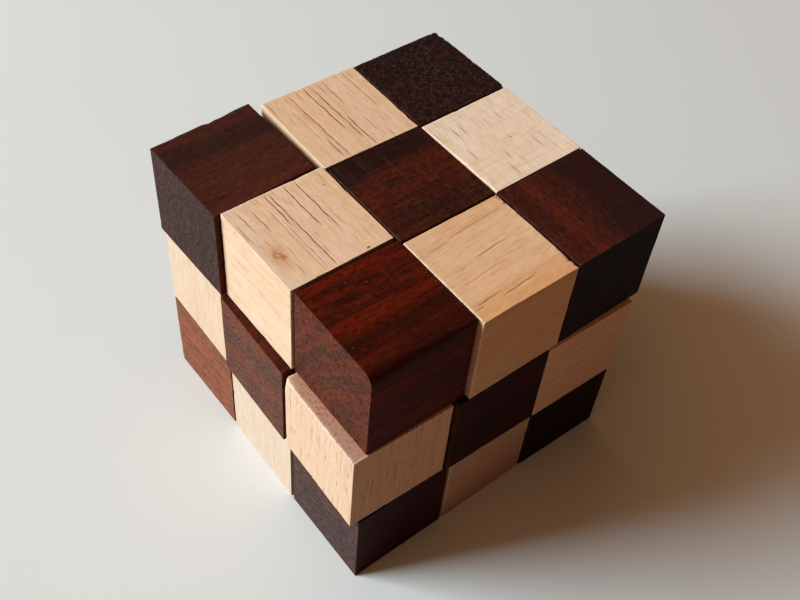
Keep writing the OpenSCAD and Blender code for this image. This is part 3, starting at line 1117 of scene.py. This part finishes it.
def make_cord(name, route, radius, relief, body, node, material):
    """A length of braided cord along a route, closed at both ends. node is the CAD node that it replaces."""
    path, stops = evenly(route, CORD_RING)
    heading = np.gradient(path, axis=0)
    heading /= np.linalg.norm(heading, axis=1, keepdims=True)
    side = np.cross(heading[0], [0.31, 0.52, 0.79])
    turns = angles(CORD_SIDES)
    wind = STRANDS / radius
    rings, crowns = [], []
    for spot, way, stop in zip(path, heading, stops):
        side = side - way * np.dot(side, way)
        side /= np.linalg.norm(side)
        over = np.maximum(np.cos(STRANDS * turns + wind * stop), np.cos(STRANDS * turns - wind * stop))
        reach = radius - relief * (1 - over) / 2
        rings.append(spot + reach[:, None] * circle(turns, side, np.cross(way, side)))
        crowns.append(over)
    numbers = np.arange(len(rings) * CORD_SIDES).reshape(-1, CORD_SIDES)
    faces = [*woven_round(numbers), numbers[0].tolist(), numbers[-1].tolist()]
    strand = np.clip(np.concatenate(crowns), 0, 1)
    piece = mesh_object(name, np.concatenate(rings) * MM, faces, {"strand": strand})
    piece.data.materials.append(material)
    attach(piece, body)
    if node:
        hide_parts(node)


def cord_radius():
    """The radius of the cord, in millimetres, from the box of an upright length."""
    low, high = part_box("cord_lower_turn")
    return (high[0] - low[0]) / 2 / MM


def knot_of(number):
    """The middle and the radius of the knot in an end cubelet, in millimetres."""
    low, high = box_of(f"cord_{number:02d}")
    way = towards(number, neighbours(number)[0])
    across = int(np.argmin(np.abs(way)))
    radius = (high[across] - low[across]) / 2
    middle = (low + high) / 2
    axis = main_axis(way)
    middle[axis] = low[axis] + radius if way[axis] > 0 else high[axis] - radius
    return middle, radius


def cord_route(number):
    """The route of the cord through a cubelet: from end to end round a smooth bend, or from its end into the
    knot."""
    node = f"cord_{number:02d}"
    ends = [cord_end(node, number, other) for other in neighbours(number)]
    if len(ends) == 1:
        middle, room = knot_of(number)
        return [ends[0], middle + towards(number, neighbours(number)[0]) * room * 0.5]
    before, after = [cord_turnoff(number, other) for other in neighbours(number)]
    return [ends[0], *bend(before, centre_of(number), after), ends[1]]


def upright_route(node):
    """The route of an upright length between two layers, from the bottom of its CAD node's box to the top."""
    low, high = box_of(node)
    x, y, _ = (low + high) / 2
    return [[x, y, low[2]], [x, y, high[2]]]


def knot_route(number, thickness):
    """An overhand knot pulled tight: three lobes that pass over and under each other."""
    turn = np.linspace(0, 2 * math.pi, KNOT_STEPS, endpoint=False)
    middle, radius = knot_of(number)
    room = radius - thickness
    shape = np.stack([(np.sin(turn) + 2 * np.sin(2 * turn)) / 3 * room,
                      (np.cos(turn) - 2 * np.cos(2 * turn)) / 3 * room,
                      -np.sin(3 * turn) * room * 0.55], axis=1)
    axis = main_axis(towards(number, neighbours(number)[0]))
    return middle + np.roll(shape, axis - 2, axis=1)


# ---------------------------------------------------------------- stage

WINDOW_WAY = (-0.74, 0.54, 0.52)         # where the lamp stands, seen from the cube
WINDOW_AWAY = 1.6                        # its distance, in metres
WINDOW_SIDE = 0.77                       # its side, in metres
WINDOW_POWER = 45.0                      # in watts
WINDOW_COLOUR = (0.745, 0.965, 1.0)
FILL_WAY = (-0.70, 0.58, 0.42)           # where most of the fill light comes from
FILL_SHADE = 0.02                        # how much of it there is on the other side
OVERHEAD = (0.09, 0.085, 0.08)           # what is seen high above the cube
FLOOR_FADE = (0.22, 0.52)                # where the floor starts and ends to fade out, in metres
FOCAL_LENGTH = 48.14                     # of the camera in mm, on a sensor 36 mm wide
CAMERA_PLACE = (-88.465, -98.299, 184.587)     # in mm
CAMERA_RIGHT = (0.78693, -0.61343, 0.06666)
CAMERA_DOWN = (-0.43541, -0.62859, -0.64443)
CAMERA_AHEAD = (0.43721, 0.47810, -0.76175)


def make_floor(side, material):
    """A flat square floor under the cube."""
    shape = bmesh.new()
    bmesh.ops.create_grid(shape, x_segments=8, y_segments=8, size=side / 2)
    mesh = bpy.data.meshes.new("stage_floor")
    shape.to_mesh(mesh)
    shape.free()
    mesh.materials.append(material)
    floor = add_object("stage_floor", mesh)
    floor.location.z = CAD_BOX[0][2]


def make_world(fill, pale):
    """Faint warm light, most of it from the window's side. What is seen past the floor is pale, and dim
    overhead."""
    world = bpy.data.worlds.new("studio")
    world.use_nodes = True
    maker = NodeMaker(world.node_tree)
    way = maker.node("TexCoord").outputs["Generated"]
    facing = maker.vector("DOT_PRODUCT", way, Vector(FILL_WAY).normalized())
    warm = maker.mix(facing, [value * FILL_SHADE for value in fill], fill)
    rise = maker.node("MapRange", {"Value": maker.part(way, "Z"), "From Max": 0.5}).outputs[0]
    chosen = maker.mix(maker.seen_directly(), warm, maker.mix(rise, pale, OVERHEAD))
    light = maker.node("Background", {"Color": chosen}).outputs[0]
    maker.node("OutputWorld", {"Surface": light})
    bpy.context.scene.world = world


def make_window():
    """A soft square lamp, turned towards the cube."""
    light = bpy.data.lights.new("window", "AREA")
    light.shape = "SQUARE"
    light.size = WINDOW_SIDE
    light.energy = WINDOW_POWER
    light.color = WINDOW_COLOUR
    low, high = CAD_BOX
    aim = Vector(((low[0] + high[0]) / 2, (low[1] + high[1]) / 2, high[2] / 2))
    lamp = add_object("window", light)
    lamp.location = aim + Vector(WINDOW_WAY).normalized() * WINDOW_AWAY
    lamp.rotation_euler = (aim - lamp.location).to_track_quat("-Z", "Y").to_euler()


def make_camera():
    """The camera: above the cube's front edge, looking down."""
    lens = bpy.data.cameras.new("camera")
    lens.sensor_width = 36.0
    lens.lens = FOCAL_LENGTH
    lens.clip_start = 0.01
    camera = add_object("camera", lens)
    turn = Matrix((CAMERA_RIGHT, -Vector(CAMERA_DOWN), -Vector(CAMERA_AHEAD))).transposed().to_4x4()
    camera.matrix_world = Matrix.Translation(Vector(CAMERA_PLACE) * MM) @ turn
    bpy.context.scene.camera = camera


# ---------------------------------------------------------------- operators

def sizes_and_colours():
    """The scene's sizes and colours."""
    scene = bpy.context.scene
    return scene.snake_cube_sizes, scene.snake_cube_colours


def make_cubelets(first, wood):
    """Every other cubelet along the cord, from the first one, in one wood."""
    sizes, colours = sizes_and_colours()
    material = wood(colours)
    for number in range(first, LAST + 1, 2):
        make_cubelet(number, sizes, material)


class SNAKECUBE_OT_stage(bpy.types.Operator):
    """Sets the floor, the soft lights and the camera"""
    bl_idname = "snake_cube.stage"
    bl_label = "Stage"

    def execute(self, context):
        sizes, colours = sizes_and_colours()
        make_floor(sizes.floor, plain_floor(colours))
        make_world(colours.fill, colours.backdrop)
        make_window()
        make_camera()
        context.scene.view_settings.view_transform = "Standard"
        return {"FINISHED"}


class SNAKECUBE_OT_dark_cubelets(bpy.types.Operator):
    """Makes the fourteen dark cubelets"""
    bl_idname = "snake_cube.dark_cubelets"
    bl_label = "Dark cubelets"

    def execute(self, context):
        make_cubelets(1, dark_wood)
        return {"FINISHED"}


class SNAKECUBE_OT_light_cubelets(bpy.types.Operator):
    """Makes the thirteen light cubelets"""
    bl_idname = "snake_cube.light_cubelets"
    bl_label = "Light cubelets"

    def execute(self, context):
        make_cubelets(2, light_wood)
        return {"FINISHED"}


class SNAKECUBE_OT_cord(bpy.types.Operator):
    """Makes the elastic cord, a length for each cubelet and each turning link, and its two knots"""
    bl_idname = "snake_cube.cord"
    bl_label = "Elastic cord"

    def execute(self, context):
        sizes, colours = sizes_and_colours()
        material = braided_cord(colours)
        radius, relief = cord_radius(), sizes.strand_relief / MM
        for number in range(1, LAST + 1):
            node, body = f"cord_{number:02d}", f"cubelet_{number:02d}"
            if len(neighbours(number)) == 1:
                thin = radius * KNOT_CORD
                make_cord(f"knot_{number:02d}", knot_route(number, thin), thin, relief, body, None, material)
            make_cord(f"cord_length_{number:02d}", cord_route(number), radius, relief, body, node, material)
        for level in ("lower", "upper"):
            node, body = f"cord_{level}_turn", f"{level}_turning_cord"
            make_cord(node + "_length", upright_route(node), radius, relief, body, node, material)
        return {"FINISHED"}


class SNAKECUBE_PT_panel(bpy.types.Panel):
    """Lists the steps that make the cube, with its sizes and colours"""
    bl_idname = "SNAKECUBE_PT_panel"
    bl_label = "Snake Cube"
    bl_space_type = "VIEW_3D"
    bl_region_type = "UI"
    bl_category = "Snake Cube"

    def draw(self, context):
        for step in STEPS:
            self.layout.operator(step.bl_idname)
        for group in sizes_and_colours():
            box = self.layout.box()
            for name in group.__annotations__:
                box.prop(group, name)


STEPS = (SNAKECUBE_OT_stage, SNAKECUBE_OT_dark_cubelets, SNAKECUBE_OT_light_cubelets, SNAKECUBE_OT_cord)
CLASSES = (SnakeCubeSizes, SnakeCubeColours, *STEPS, SNAKECUBE_PT_panel)


def register():
    for item in CLASSES:
        bpy.utils.register_class(item)
    bpy.types.Scene.snake_cube_sizes = bpy.props.PointerProperty(type=SnakeCubeSizes)
    bpy.types.Scene.snake_cube_colours = bpy.props.PointerProperty(type=SnakeCubeColours)


def unregister():
    del bpy.types.Scene.snake_cube_colours
    del bpy.types.Scene.snake_cube_sizes
    for item in reversed(CLASSES):
        bpy.utils.unregister_class(item)


def main():
    register()
    bpy.ops.snake_cube.stage()
    bpy.ops.snake_cube.dark_cubelets()
    bpy.ops.snake_cube.light_cubelets()
    bpy.ops.snake_cube.cord()
    bpy.context.view_layer.update()


if __name__ == "__main__":
    main()
